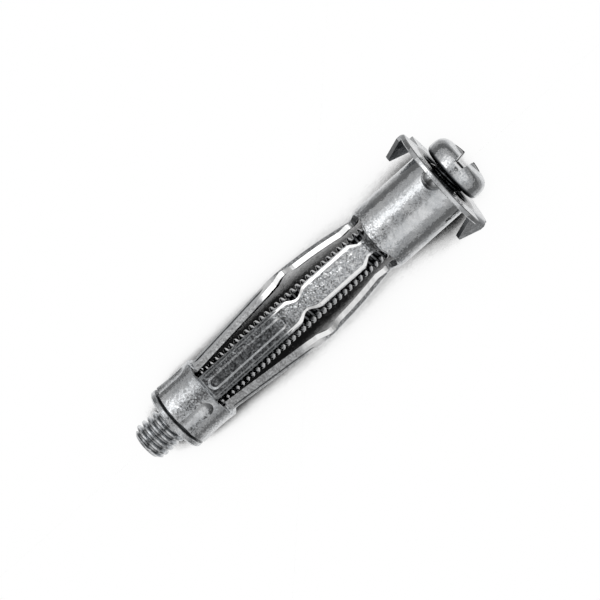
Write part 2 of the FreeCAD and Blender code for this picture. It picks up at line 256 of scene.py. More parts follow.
class WallAnchorThread(bpy.types.PropertyGroup):
    """Sizes of the machine screw's thread."""

    crest_radius: bpy.props.FloatProperty(
        name="Crest radius",
        description="Outer radius of the M6 thread",
        default=2.95 * MM,
        unit="LENGTH",
        precision=5,
    )
    depth: bpy.props.FloatProperty(
        name="Depth",
        description="Height of the thread from root to crest",
        default=0.6 * MM,
        unit="LENGTH",
        precision=5,
    )
    pitch: bpy.props.FloatProperty(
        name="Pitch",
        description="Distance from one crest to the next",
        default=1.0 * MM,
        unit="LENGTH",
        precision=5,
    )
    stick_out: bpy.props.FloatProperty(
        name="Stick out",
        description="How far the screw stands out of the bush",
        default=5.5 * MM,
        unit="LENGTH",
        precision=5,
    )
    chamfer: bpy.props.FloatProperty(
        name="Tip chamfer",
        description="Size of the chamfer at the screw's tip",
        default=0.75 * MM,
        unit="LENGTH",
        precision=5,
    )


class WallAnchorHead(bpy.types.PropertyGroup):
    """Sizes of the pan head and its drive."""

    under: bpy.props.FloatProperty(
        name="Underside",
        description="Distance from the bush's outer face to the underside of the head",
        default=53.49 * MM,
        unit="LENGTH",
        precision=5,
    )
    radius: bpy.props.FloatProperty(
        name="Radius",
        description="Radius of the head at its widest line",
        default=4.9 * MM,
        unit="LENGTH",
        precision=5,
    )
    height: bpy.props.FloatProperty(
        name="Height",
        description="Height of the head",
        default=3.78 * MM,
        unit="LENGTH",
        precision=5,
    )
    side: bpy.props.FloatProperty(
        name="Side",
        description="Height of the head's widest line above its underside",
        default=1.4 * MM,
        unit="LENGTH",
        precision=5,
    )
    under_round: bpy.props.FloatProperty(
        name="Under round",
        description="Rounded edge under the head",
        default=0.75 * MM,
        unit="LENGTH",
        precision=5,
    )
    crown_radius: bpy.props.FloatProperty(
        name="Crown radius",
        description="Radius at which the round shoulder meets the flatter top",
        default=3.2 * MM,
        unit="LENGTH",
        precision=5,
    )
    crown_rise: bpy.props.FloatProperty(
        name="Crown rise",
        description="How far the top is domed inside the crown radius",
        default=0.5 * MM,
        unit="LENGTH",
        precision=5,
    )
    shoulder_rise: bpy.props.FloatProperty(
        name="Shoulder rise",
        description="Power that shapes how fast the round shoulder climbs",
        default=0.94,
    )
    shoulder_fall: bpy.props.FloatProperty(
        name="Shoulder fall",
        description="Power that shapes how fast the round shoulder draws in",
        default=0.9,
    )
    slot_width: bpy.props.FloatProperty(
        name="Slot width",
        description="Width at its top of the slot for a flat blade",
        default=1.95 * MM,
        unit="LENGTH",
        precision=5,
    )
    slot_floor_width: bpy.props.FloatProperty(
        name="Slot floor width",
        description="Width at its floor of the slot for a flat blade",
        default=1.45 * MM,
        unit="LENGTH",
        precision=5,
    )
    slot_depth: bpy.props.FloatProperty(
        name="Slot depth",
        description="Depth of the slot for a flat blade",
        default=1.75 * MM,
        unit="LENGTH",
        precision=5,
    )
    cross_width: bpy.props.FloatProperty(
        name="Cross width",
        description="Width of the cross recess's wings",
        default=1.05 * MM,
        unit="LENGTH",
        precision=5,
    )
    cross_span: bpy.props.FloatProperty(
        name="Cross span",
        description="Width over opposite wings of the cross recess",
        default=5.2 * MM,
        unit="LENGTH",
        precision=5,
    )
    cross_depth: bpy.props.FloatProperty(
        name="Cross depth",
        description="Depth of the cross recess",
        default=2.55 * MM,
        unit="LENGTH",
        precision=5,
    )
    cross_floor: bpy.props.FloatProperty(
        name="Cross floor",
        description="Half width of the cross recess at its floor",
        default=0.8 * MM,
        unit="LENGTH",
        precision=5,
    )
    cross_point: bpy.props.FloatProperty(
        name="Cross point",
        description="Depth of the cone below the cross recess's floor",
        default=0.35 * MM,
        unit="LENGTH",
        precision=5,
    )
    edge: bpy.props.FloatProperty(
        name="Edge",
        description="Size of the softened edges of the slot and the cross",
        default=0.07 * MM,
        unit="LENGTH",
        precision=5,
    )


class WallAnchorFinish(bpy.types.PropertyGroup):
    """Colours of the zinc finishes, of their painted shade and highlight and of the floor, as sRGB hex
    values.
    """

    zinc_light: bpy.props.StringProperty(
        name="Zinc, light",
        description="Brighter crystals of the plating",
        default="#E9EAEB",
    )
    zinc_dark: bpy.props.StringProperty(
        name="Zinc, dark",
        description="Duller crystals of the plating",
        default="#C2C5C8",
    )
    # painted shade: the dark colour that stands in for shade in the thread's roots, the gaps, the tube's
    # mouth, under the head and on the inner faces
    shade_colour: bpy.props.StringProperty(
        name="Painted shade",
        description="Dark colour painted as shade in the thread's roots, the gaps and the hollows",
        default="#4A4C4E",
    )
    # painted highlight on the legs' bent shoulders and cut faces
    edge_highlight: bpy.props.StringProperty(
        name="Edge highlight",
        description="Painted highlight on the legs' bent shoulders and cut faces",
        default="#FCFCFC",
    )
    floor: bpy.props.StringProperty(
        name="Floor",
        description="Pale matte paper that the anchor lies on",
        default="#E8E8E8",
    )


class WallAnchorStage(bpy.types.PropertyGroup):
    """Where the camera stands, and the light tent."""

    tilt: bpy.props.FloatProperty(
        name="Tilt",
        description="How far the view is turned towards the head's end",
        default=math.radians(9.4),
        subtype="ANGLE",
    )
    roll: bpy.props.FloatProperty(
        name="Roll",
        description="How far the view is turned round the anchor's axis",
        default=math.radians(2.1),
        subtype="ANGLE",
    )
    slant: bpy.props.FloatProperty(
        name="Slant",
        description="Angle of the anchor's axis in the picture",
        default=math.radians(41.8),
        subtype="ANGLE",
    )
    aim_along: bpy.props.FloatProperty(
        name="Aim along",
        description="Point of the axis at the middle of the picture, from the bush's face",
        default=25.48 * MM,
        unit="LENGTH",
        precision=5,
    )
    aim_beside: bpy.props.FloatProperty(
        name="Aim beside",
        description="How far beside the axis the middle of the picture is",
        default=0.86 * MM,
        unit="LENGTH",
        precision=5,
    )
    distance: bpy.props.FloatProperty(
        name="Distance",
        description="From the camera to the point that it aims at",
        default=0.477,
        unit="LENGTH",
    )
    lens: bpy.props.FloatProperty(
        name="Lens",
        description="Focal length in millimetres on a 36 mm sensor",
        default=200.0,
    )
    key_wall: bpy.props.FloatProperty(
        name="Bright wall",
        description="Brightness of the tent's wall on the side that the key lamp is on",
        default=1.0,
    )
    soft_wall: bpy.props.FloatProperty(
        name="Soft wall",
        description="Brightness of the wall across from the key lamp",
        default=0.9,
    )
    head_wall: bpy.props.FloatProperty(
        name="Head's wall",
        description="Brightness of the wall that the screw's head faces",
        default=0.65,
    )
    tip_wall: bpy.props.FloatProperty(
        name="Tip's wall",
        description="Brightness of the wall that the screw's tip faces",
        default=0.06,
    )
    roof: bpy.props.FloatProperty(
        name="Roof",
        description="Brightness of the tent's roof",
        default=0.62,
    )
    lens_dark: bpy.props.FloatProperty(
        name="Lens",
        description="Brightness of the camera's lens in the roof",
        default=0.12,
    )
    gap: bpy.props.FloatProperty(
        name="Gap",
        description="Brightness of the gap between the walls and the floor",
        default=0.1,
    )


def thread_tree():
    """Nodes for a right-hand thread: a grid is wrapped round the axis and slides one pitch a turn."""
    tree = bpy.data.node_groups.new("Right-hand thread", "GeometryNodeTree")
    face = tree.interface
    for name in ("Crest Radius", "Depth", "Pitch", "Start", "End", "Tip Chamfer"):
        face.new_socket(name, in_out="INPUT", socket_type="NodeSocketFloat")
    for name in ("Segments", "Rows per Pitch"):
        face.new_socket(name, in_out="INPUT", socket_type="NodeSocketInt")
    face.new_socket("Material", in_out="INPUT", socket_type="NodeSocketMaterial")
    face.new_socket("Geometry", in_out="OUTPUT", socket_type="NodeSocketGeometry")
    given = add(tree, "NodeGroupInput").outputs

    # the grid has a row for each step along the axis and a column for each step round it
    length = add(tree, MATHS, (given["End"], given["Start"]), operation="SUBTRACT")
    turns = add(tree, MATHS, (length, given["Pitch"]), operation="DIVIDE")
    turns = add(tree, MATHS, (turns,), operation="CEIL")
    turns = add(tree, MATHS, (turns, 1.0), operation="ADD")
    last_row = add(tree, MATHS, (turns, given["Rows per Pitch"]), operation="MULTIPLY")
    last_row = add(tree, MATHS, (last_row, 1.0), operation="ADD")
    rows = add(tree, MATHS, (last_row, 1.0), operation="ADD")
    columns = add(tree, MATHS, (given["Segments"], 1.0), operation="ADD")
    grid = add(tree, "GeometryNodeMeshGrid", {"Vertices X": rows, "Vertices Y": columns})
    index = add(tree, "GeometryNodeInputIndex")
    row = add(tree, MATHS, (index, 0.5), operation="ADD")
    row = add(tree, MATHS, (row, columns), operation="DIVIDE")
    row = add(tree, MATHS, (row,), operation="FLOOR")
    passed = add(tree, MATHS, (row, columns), operation="MULTIPLY")
    column = add(tree, MATHS, (index, passed), operation="SUBTRACT")
    turn = add(tree, MATHS, (column, given["Segments"]), operation="DIVIDE")
    angle = add(tree, MATHS, (turn, math.tau), operation="MULTIPLY")

    # the place along the axis: what is past the ends is drawn back to them
    step = add(tree, MATHS, (row, 1.0), operation="SUBTRACT")
    pitches = add(tree, MATHS, (step, given["Rows per Pitch"]), operation="DIVIDE")
    slid = add(tree, MATHS, (pitches, turn), operation="ADD")
    slid = add(tree, MATHS, (slid, 1.0), operation="SUBTRACT")
    along = add(tree, MATHS, (slid, given["Pitch"]), operation="MULTIPLY")
    along = add(tree, MATHS, (along, given["Start"]), operation="ADD")
    along = add(tree, MATHS, (along, given["Start"]), operation="MAXIMUM")
    along = add(tree, MATHS, (along, given["End"]), operation="MINIMUM")

    # the flank is straight, the crest and the root are a little rounded
    phase = add(tree, MATHS, (pitches,), operation="FRACT")
    phase = add(tree, MATHS, (phase, 0.5), operation="SUBTRACT")
    phase = add(tree, MATHS, (phase,), operation="ABSOLUTE")
    flank = {"Value": phase, "From Min": ROOT_SHARE / 2, "From Max": 0.5 - CREST_SHARE / 2}
    rounded = add(tree, "ShaderNodeMapRange", flank, interpolation_type="SMOOTHSTEP")
    straight = add(tree, "ShaderNodeMapRange", flank)
    rounded = add(tree, MATHS, (rounded, FLANK_ROUNDING), operation="MULTIPLY")
    straight = add(tree, MATHS, (straight, 1 - FLANK_ROUNDING), operation="MULTIPLY")
    rise = add(tree, MATHS, (rounded, straight), operation="ADD")
    rise = add(tree, MATHS, (rise, given["Depth"]), operation="MULTIPLY")
    root = add(tree, MATHS, (given["Crest Radius"], given["Depth"]), operation="SUBTRACT")
    radius = add(tree, MATHS, (root, rise), operation="ADD")

    # the chamfer cuts the crests at the tip down to a cone
    cone = add(tree, MATHS, (given["Crest Radius"], given["Tip Chamfer"]), operation="SUBTRACT")
    from_tip = add(tree, MATHS, (along, given["Start"]), operation="SUBTRACT")
    cone = add(tree, MATHS, (cone, from_tip), operation="ADD")
    radius = add(tree, MATHS, (radius, cone), operation="MINIMUM")

    # the first and the last row close the ends
    rows_left = add(tree, MATHS, (last_row, row), operation="SUBTRACT")
    inside = add(tree, MATHS, (row, rows_left), operation="MINIMUM")
    inside = add(tree, MATHS, (inside, 1.0), operation="MINIMUM")
    radius = add(tree, MATHS, (radius, inside), operation="MULTIPLY")
    cosine = add(tree, MATHS, (angle,), operation="COSINE")
    sine = add(tree, MATHS, (angle,), operation="SINE")
    across = add(tree, MATHS, (radius, cosine), operation="MULTIPLY")
    out = add(tree, MATHS, (radius, sine), operation="MULTIPLY")
    place = add(tree, "ShaderNodeCombineXYZ", (along, across, out))
    wound = add(tree, "GeometryNodeSetPosition", {"Geometry": grid, "Position": place})
    joined = add(tree, "GeometryNodeMergeByDistance", {"Geometry": wound, "Distance": MERGE_WITHIN})
    real = add(tree, "GeometryNodeRealizeInstances", (joined,))
    painted = add(tree, "GeometryNodeSetMaterial", {"Geometry": real, "Material": given["Material"]})
    add(tree, "NodeGroupOutput", {"Geometry": painted})
    return tree


def from_nodes(tree, values):
    """Runs a geometry tree with these named inputs and gives the result as a plain mesh."""
    carrier = bpy.data.objects.new("carrier", bpy.data.meshes.new("carrier"))
    bpy.context.scene.collection.objects.link(carrier)
    modifier = carrier.modifiers.new("shape", "NODES")
    modifier.node_group = tree
    sockets = {item.name: item.identifier for item in tree.interface.items_tree if item.in_out == "INPUT"}
    for name, value in values.items():
        modifier[sockets[name]] = value
    view = bpy.context.evaluated_depsgraph_get()
    mesh = bpy.data.meshes.new_from_object(carrier.evaluated_get(view))
    carrier.modifiers.remove(modifier)
    bpy.data.objects.remove(carrier)
    return mesh


def turned(profile, segments):
    """A closed solid of revolution about X from a profile of (along, radius) points."""
    form = bmesh.new()
    rings = []
    for along, radius in profile:
        if radius < 1e-9:
            rings.append([form.verts.new((along, 0.0, 0.0))])
            continue
        ring = []
        for i in range(segments):
            angle = math.tau * i / segments
            ring.append(form.verts.new((along, radius * math.cos(angle), radius * math.sin(angle))))
        rings.append(ring)
    for low, high in zip(rings, rings[1:]):
        for i in range(segments):
            j = (i + 1) % segments
            corners = [low[i % len(low)], low[j % len(low)], high[j % len(high)], high[i % len(high)]]
            corners = list(dict.fromkeys(corners))
            form.faces.new(corners)
    bmesh.ops.recalc_face_normals(form, faces=form.faces)
    mesh = bpy.data.meshes.new("turned")
    form.to_mesh(mesh)
    form.free()
    return mesh


def prism(outline, direction):
    """A closed solid: an outline of points swept by a vector."""
    form = bmesh.new()
    low = [form.verts.new(p) for p in outline]
    high = [form.verts.new(Vector(p) + direction) for p in outline]
    form.faces.new(low)
    form.faces.new(high)
    for i in range(len(low)):
        j = (i + 1) % len(low)
        form.faces.new((low[i], low[j], high[j], high[i]))
    bmesh.ops.recalc_face_normals(form, faces=form.faces)
    mesh = bpy.data.meshes.new("prism")
    form.to_mesh(mesh)
    form.free()
    return mesh


def cut_and_soften(mesh, cutters, edge):
    """Takes the cutters out of a mesh and rounds the sharp edges that they leave."""
    body = bpy.data.objects.new("body", mesh)
    bpy.context.scene.collection.objects.link(body)
    tools = []
    for cutter in cutters:
        tool = bpy.data.objects.new("tool", cutter)
        bpy.context.scene.collection.objects.link(tool)
        cut = body.modifiers.new("cut", "BOOLEAN")
        cut.operation = "DIFFERENCE"
        cut.solver = "EXACT"
        cut.object = tool
        tools.append(tool)
    soften = body.modifiers.new("soften", "BEVEL")
    soften.width = edge
    soften.segments = 2
    soften.limit_method = "ANGLE"
    soften.angle_limit = SHARP_EDGE
    view = bpy.context.evaluated_depsgraph_get()
    result = bpy.data.meshes.new_from_object(body.evaluated_get(view))
    for thing in [body, *tools]:
        bpy.data.objects.remove(thing)
    return result


def head_profile(head):
    """The pan head's outline from the axis under the head, round its side, to the middle of its top."""
    under, top = head.under, head.under + head.height
    widest = under + head.side
    shoulder = top - head.crown_rise
    points = [(under, 0.0)]
    for i in range(EDGE_STEPS + 1):
        angle = math.pi / 2 * i / EDGE_STEPS
        along = under + head.under_round * (1 - math.cos(angle))
        points.append((along, head.radius - head.under_round * (1 - math.sin(angle))))
    points.append((widest, head.radius))
    for i in range(1, SHOULDER_STEPS + 1):
        angle = math.pi / 2 * i / SHOULDER_STEPS
        along = widest + (shoulder - widest) * math.sin(angle) ** head.shoulder_rise
        radius = head.crown_radius
        if i < SHOULDER_STEPS:
            radius += (head.radius - head.crown_radius) * math.cos(angle) ** head.shoulder_fall
        points.append((along, radius))
    for i in range(1, EDGE_STEPS + 1):
        part = i / EDGE_STEPS
        along = shoulder + head.crown_rise * (1 - (1 - part) ** 2)
        points.append((along, head.crown_radius * (1 - part)))
    return points


def head_cutters(head):
    """The slot, the two blades of the cross and the cone at its middle."""
    top = head.under + head.height
    above = top + head.height
    clear = top + 2 * MM
    rim = top + 1 * MM
    reach = 2 * head.radius
    widening = (head.slot_width - head.slot_floor_width) / 2 / head.slot_depth
    low = head.slot_floor_width / 2
    high = head.slot_width / 2 + widening * head.height
    floor = top - head.slot_depth
    slot = [(floor, -low, -reach), (above, -high, -reach), (above, high, -reach), (floor, low, -reach)]
    cutters = [prism(slot, Vector((0.0, 0.0, 2 * reach)))]
    half = head.cross_width / 2
    span = head.cross_span / 2
    mouth = top - head.crown_rise
    deep = top - head.cross_depth
    for turn in (0.0, math.pi / 2):
        wing = [
            (clear, -half, -span),
            (clear, -half, span),
            (mouth, -half, span),
            (deep, -half, head.cross_floor),
            (deep, -half, -head.cross_floor),
            (mouth, -half, -span),
        ]
        blade = prism(wing, Vector((0.0, head.cross_width, 0.0)))
        blade.transform(Matrix.Rotation(turn, 4, "X"))
        cutters.append(blade)
    point = deep - head.cross_point
    cone = [(point, 0.0), (deep, head.cross_floor), (rim, span / 1.5), (rim, 0.0)]
    cutters.append(turned(cone, CONE_SEGMENTS))
    return cutters


def facing(tree, direction):
    """How straight the surface looks along a direction: 1 straight along it, -1 straight against it."""
    normal = add(tree, "ShaderNodeTexCoord").outputs["Normal"]
    return add(tree, VECTORS, (normal, direction), operation="DOT_PRODUCT").outputs["Value"]


def scaled_sum(tree, parts):
    """Adds up pairs of a direction and how much of it."""
    total = (0.0, 0.0, 0.0)
    for direction, amount in parts:
        part = add(tree, VECTORS, {0: direction, "Scale": amount}, operation="SCALE")
        total = add(tree, VECTORS, (part, total), operation="ADD")
    return total


def edge_highlight_along(below_fold):
    """How strong the painted highlight on a leg's edges is along the anchor: a little below the fold, fully
    above it.
    """
    lower = ((0.0, 0.0), (7.0, below_fold), (21.0, below_fold))
    return (*lower, (23.0, 1.0), (37.5, 1.0), (38.6, 0.0), (60.0, 0.0))


def edge_highlight_and_lean(tree, place):
    """How much painted highlight the bent shoulders of the upright legs and the cut faces of the side legs
    take, and the way that their rounded edges lean. Both are told by the surface's normal across the leg."""
    s, u, w = add(tree, "ShaderNodeSeparateXYZ", (place,)).outputs
    from_side = add(tree, MATHS, (u,), operation="ABSOLUTE")
    from_level = add(tree, MATHS, (w,), operation="ABSOLUTE")
    upright_leg = add(tree, MATHS, (from_level, from_side), operation="GREATER_THAN")
    side_leg = add(tree, MATHS, (1.0, upright_leg), operation="SUBTRACT")

    across = add(tree, MATHS, (facing(tree, ACROSS),), operation="ABSOLUTE")
    shoulder = ramp(tree, across, SHOULDER_FACES)
    shoulder = add(tree, MATHS, (shoulder, ramp(tree, from_side, FROM_LEG_MIDDLE)), operation="MULTIPLY")
    along = ramp(tree, s, edge_highlight_along(UPRIGHT_BELOW_FOLD))
    shoulder = add(tree, MATHS, (shoulder, along), operation="MULTIPLY")
    out = add(tree, MATHS, (facing(tree, OUT),), operation="ABSOLUTE")
    cut_face = ramp(tree, out, CUT_FACES)
    along = ramp(tree, s, edge_highlight_along(SIDE_BELOW_FOLD))
    cut_face = add(tree, MATHS, (cut_face, along), operation="MULTIPLY")
    bent = add(tree, MATHS, (shoulder, cut_face), operation="SUBTRACT")
    bent = add(tree, MATHS, (bent, upright_leg, cut_face), operation="MULTIPLY_ADD")

    sideways = add(tree, MATHS, (side_leg, CUT_FACE_LEAN), operation="MULTIPLY")
    leans = []
    for direction, position, amount in ((OUT, w, SHOULDER_LEAN), (ACROSS, u, sideways)):
        sign = add(tree, MATHS, (position,), operation="SIGN")
        amount = add(tree, MATHS, (sign, amount), operation="MULTIPLY")
        leans.append((direction, add(tree, MATHS, (amount, bent), operation="MULTIPLY")))
    return bent, scaled_sum(tree, leans)


def lying_panels(tree, s):
    """1 on the flat of the lower panels of the upright legs, the ones on top and below, and on the
    wall of their channel that leans the same way. These are the faces that take painted shade."""
    leaning = (OUT - PANEL_SHADE_LEAN * ACROSS).normalized()
    flat = add(tree, MATHS, (facing(tree, leaning),), operation="ABSOLUTE")
    flat = ramp(tree, flat, FLAT_FACES)
    return add(tree, MATHS, (flat, ramp(tree, s, LOWER_PANELS)), operation="MULTIPLY")


def inner_faces(tree, place):
    """1 on the faces that look at the anchor's axis, where painted shade goes."""
    _, u, w = add(tree, "ShaderNodeSeparateXYZ", (place,)).outputs
    radial = scaled_sum(tree, ((ACROSS, u), (OUT, w)))
    radial = add(tree, VECTORS, (radial,), operation="NORMALIZE")
    return ramp(tree, facing(tree, radial), INNER_FACES)


def zinc_tone(tree, place, speck, grain):
    """From the duller zinc at 0 to the brighter at 1: slow clouds, with the crystals' own tones."""
    clouds = {"Vector": place, "Scale": 1 / CLOUD_WIDTH, "Detail": 3.0, "Roughness": 0.6}
    clouds = add(tree, "ShaderNodeTexNoise", clouds)
    low, high = CLOUD_RANGE
    dull, bright = TONE_RANGE
    tone = {"Value": clouds, "From Min": low, "From Max": high, "To Min": dull, "To Max": bright}
    tone = add(tree, "ShaderNodeMapRange", tone)
    glint = add(tree, MATHS, (speck, CRYSTAL_TONE), operation="MULTIPLY")
    return add(tree, MATHS, (glint, grain, tone), operation="MULTIPLY_ADD")


def speckled_panel_shade(tree, place, s, speck):
    """How much painted shade shows on the lower panels of the upright legs, speck by speck."""
    noise = add(tree, "ShaderNodeTexNoise", {"Vector": place, "Scale": 1 / SHADE_SPECK_WIDTH, "Detail": 1.0})
    panel_shade = add(tree, MATHS, (0.5, noise), operation="SUBTRACT")
    panel_shade = add(tree, MATHS, (panel_shade, PANEL_SHADE_BY_SPECK, PANEL_SHADE_SHARE), operation="MULTIPLY_ADD")
    panel_shade = add(tree, MATHS, (speck, PANEL_SHADE_BY_CRYSTAL, panel_shade), operation="MULTIPLY_ADD")
    return add(tree, MATHS, (panel_shade, lying_panels(tree, s)), operation="MULTIPLY")


def bright_zinc(name, finish, crystals, waves, roughness, painted_shade, sheet=False):
    """Bright zinc, electroplated on steel: a white-grey metal whose crystals break its gloss up, over
    the shallow unevenness that stamping and rolling leave. crystals is a slope, waves a height in
    millimetres. The shade function gives, from the distance along the axis and from it, how much of the
    dark colour of painted shade shows there. sheet adds what only the stamped sheet has, with painted
    shade on its lower panels and inner faces and a painted highlight on its legs' edges."""
    material, tree = new_tree(name)
    light, dark = linear(finish.zinc_light), linear(finish.zinc_dark)
    shade_colour, edge_highlight = linear(finish.shade_colour), linear(finish.edge_highlight)
    place = anchor_millimetres(tree)
    s = add(tree, "ShaderNodeSeparateXYZ", (place,)).outputs[0]
    aside = add(tree, VECTORS, (place, (0.0, 1.0, 1.0)), operation="MULTIPLY")
    radius = add(tree, VECTORS, (aside,), operation="LENGTH").outputs["Value"]

    # the sheet is grained most above the fold, less below it and on the collar, least on the tube
    grain = ramp(tree, s, SHEET_GRAIN) if sheet else 1.0
    wave = add(tree, "ShaderNodeTexNoise", {"Vector": place, "Scale": 1 / WAVE_WIDTH, "Detail": 1.0})
    cell = add(tree, "ShaderNodeTexVoronoi", {"Vector": place, "Scale": 1 / CRYSTAL_WIDTH})
    cell = cell.outputs["Color"]
    speck = add(tree, "ShaderNodeSeparateXYZ", (cell,))
    speck = add(tree, MATHS, (speck, 0.5), operation="SUBTRACT")
    tone = zinc_tone(tree, place, speck, grain)
    if sheet:
        # the lower legs are given a darker tone: painted shade
        tone = add(tree, MATHS, (tone, ramp(tree, s, LOWER_LEGS_DIM)), operation="SUBTRACT")
    layers = [(tone, light)]

    # the waves are a height and the crystals a slope, which is taken off where the edges have their painted
    # highlight
    height = add(tree, MATHS, (grain, WAVES_BY_GRAIN, WAVES_SMOOTH), operation="MULTIPLY_ADD")
    height = add(tree, MATHS, (wave, height), operation="MULTIPLY")
    normal = add(tree, "ShaderNodeBump", {"Strength": 1.0, "Distance": waves * MM, "Height": height})
    slope = add(tree, MATHS, (grain, crystals), operation="MULTIPLY")
    if sheet:
        # on the sheet, painted shade lies in specks on the lower panels and on the inner faces, and a
        # painted highlight on the legs' edges
        panel_shade = speckled_panel_shade(tree, place, s, speck)
        highlight_share, lean = edge_highlight_and_lean(tree, place)
        plain = add(tree, MATHS, (1.0, highlight_share), operation="SUBTRACT")
        slope = add(tree, MATHS, (slope, plain), operation="MULTIPLY")
        normal = add(tree, VECTORS, (normal, lean), operation="ADD")
        inside = add(tree, MATHS, (inner_faces(tree, place), INNER_SHADE), operation="MULTIPLY")
        layers += [(panel_shade, shade_colour), (highlight_share, edge_highlight), (inside, shade_colour)]
    # each part's shade function places more painted shade where the parts hide each other
    layers.append((painted_shade(tree, s, radius), shade_colour))

    # each layer covers the ones before it by its share
    colour = dark
    for share, shade in layers:
        layer = {0: share, MIX_FIRST: colour, MIX_SECOND: shade}
        colour = add(tree, "ShaderNodeMix", layer, data_type="RGBA").outputs[MIX_RESULT]

    # each crystal tips the surface its own way
    tipped = add(tree, VECTORS, (cell, (0.5, 0.5, 0.5)), operation="SUBTRACT")
    tipped = add(tree, VECTORS, {0: tipped, "Scale": slope}, operation="SCALE")
    normal = add(tree, VECTORS, (normal, tipped), operation="ADD")
    normal = add(tree, VECTORS, (normal,), operation="NORMALIZE")
    rough = roughness + ROUGHNESS_AT_DULL
    rough = add(tree, MATHS, (tone, ROUGHNESS_BY_TONE, rough), operation="MULTIPLY_ADD")
    shader = {"Base Color": colour, "Metallic": 1.0, "Roughness": rough, "Normal": normal}
    shader = add(tree, "ShaderNodeBsdfPrincipled", shader)
    add(tree, "ShaderNodeOutputMaterial", {"Surface": shader})
    return material


def dress(node, material):
    """Gives a CAD node its material and leaves its mesh as it is."""
    materials = frame["nodes"][node].data.materials
    materials.clear()
    materials.append(material)


class WALL_ANCHOR_OT_screw(bpy.types.Operator):
    """Makes the machine screw: its thread is wound by nodes and its head is turned and cut"""

    bl_idname = "wall_anchor.screw"
    bl_label = "Machine screw"

    def execute(self, context):
        scene = context.scene
        thread, head = scene.wall_anchor_thread, scene.wall_anchor_head

        def painted_shade(tree, s, radius):
            """Painted shade in the roots of the rolled thread, less so at the tip, on the shank inside the
            sleeve and under the head."""
            crest = thread.crest_radius / MM
            root = crest - thread.depth / MM
            under = head.under / MM
            roots = ramp(tree, radius, ((0.0, 1.0), (root, 1.0), (crest - 0.25, 0.0), (10.0, 0.0)))
            roots = add(tree, MATHS, (roots, ramp(tree, s, THREAD_ROOTS)), operation="MULTIPLY")
            tip = ((-1.0, 0.0), (1.5, 0.0))
            shank = ((2.5, SHANK_SHADE), (under - 4.0, SHANK_SHADE))
            neck = ((under - 2.0, 1.0), (under + 0.5, 1.0))
            head_side = ((under + 0.75, 0.0), (60.0, 0.0))
            hidden = ramp(tree, s, (*tip, *shank, *neck, *head_side))
            return add(tree, MATHS, (roots, hidden), operation="MAXIMUM")

        zinc = bright_zinc(
            "Bright zinc on rolled screw",
            scene.wall_anchor_finish,
            crystals=0.08,
            waves=0.08,
            roughness=0.11,
            painted_shade=painted_shade,
        )
        values = {
            "Crest Radius": thread.crest_radius,
            "Depth": thread.depth,
            "Pitch": thread.pitch,
            "Start": -thread.stick_out,
            "End": head.under + 0.2 * MM,
            "Tip Chamfer": thread.chamfer,
            "Segments": THREAD_SEGMENTS,
            "Rows per Pitch": THREAD_ROWS,
            "Material": zinc,
        }
        shank = from_nodes(thread_tree(), values)
        blank = turned(head_profile(head), HEAD_SEGMENTS)
        top = cut_and_soften(blank, head_cutters(head), head.edge)
        form = bmesh.new()
        form.from_mesh(shank)
        bmesh.ops.recalc_face_normals(form, faces=form.faces)
        form.from_mesh(top)
        for face in form.faces:
            face.material_index = 0
            face.smooth = True
        mesh = bpy.data.meshes.new("machine_screw")
        form.to_mesh(mesh)
        form.free()
        mesh.set_sharp_from_angle(angle=SMOOTH_UP_TO)
        mesh.materials.clear()
        mesh.materials.append(zinc)
        mesh.transform(PLACE)
        link_piece("machine_screw", mesh, "screw", "screw")
        return {"FINISHED"}


class WALL_ANCHOR_OT_sleeve(bpy.types.Operator):
    """Gives the stamped sleeve its bright zinc finish"""

    bl_idname = "wall_anchor.sleeve"
    bl_label = "Sleeve finish"

    def execute(self, context):
        def painted_shade(tree, s, radius):
            """Painted shade in the bore of the tube at its mouth."""
            bore = ramp(tree, radius, TUBE_BORE)
            return add(tree, MATHS, (bore, ramp(tree, s, TUBE_MOUTH)), operation="MULTIPLY")

        zinc = bright_zinc(
            "Bright zinc on stamped sheet",
            context.scene.wall_anchor_finish,
            crystals=0.38,
            waves=0.12,
            roughness=0.17,
            painted_shade=painted_shade,
            sheet=True,
        )
        dress("sleeve", zinc)
        return {"FINISHED"}


class WALL_ANCHOR_OT_bush(bpy.types.Operator):
    """Gives the threaded bush its bright zinc finish"""

    bl_idname = "wall_anchor.bush"
    bl_label = "Bush finish"

    def execute(self, context):
        def painted_shade(tree, s, radius):
            """Painted shade in the groove between the bush's flange and the collar."""
            return ramp(tree, s, BUSH_GROOVE)

        zinc = bright_zinc(
            "Bright zinc on turned bush",
            context.scene.wall_anchor_finish,
            crystals=0.15,
            waves=0.08,
            roughness=0.2,
            painted_shade=painted_shade,
        )
        dress("nut", zinc)
        return {"FINISHED"}


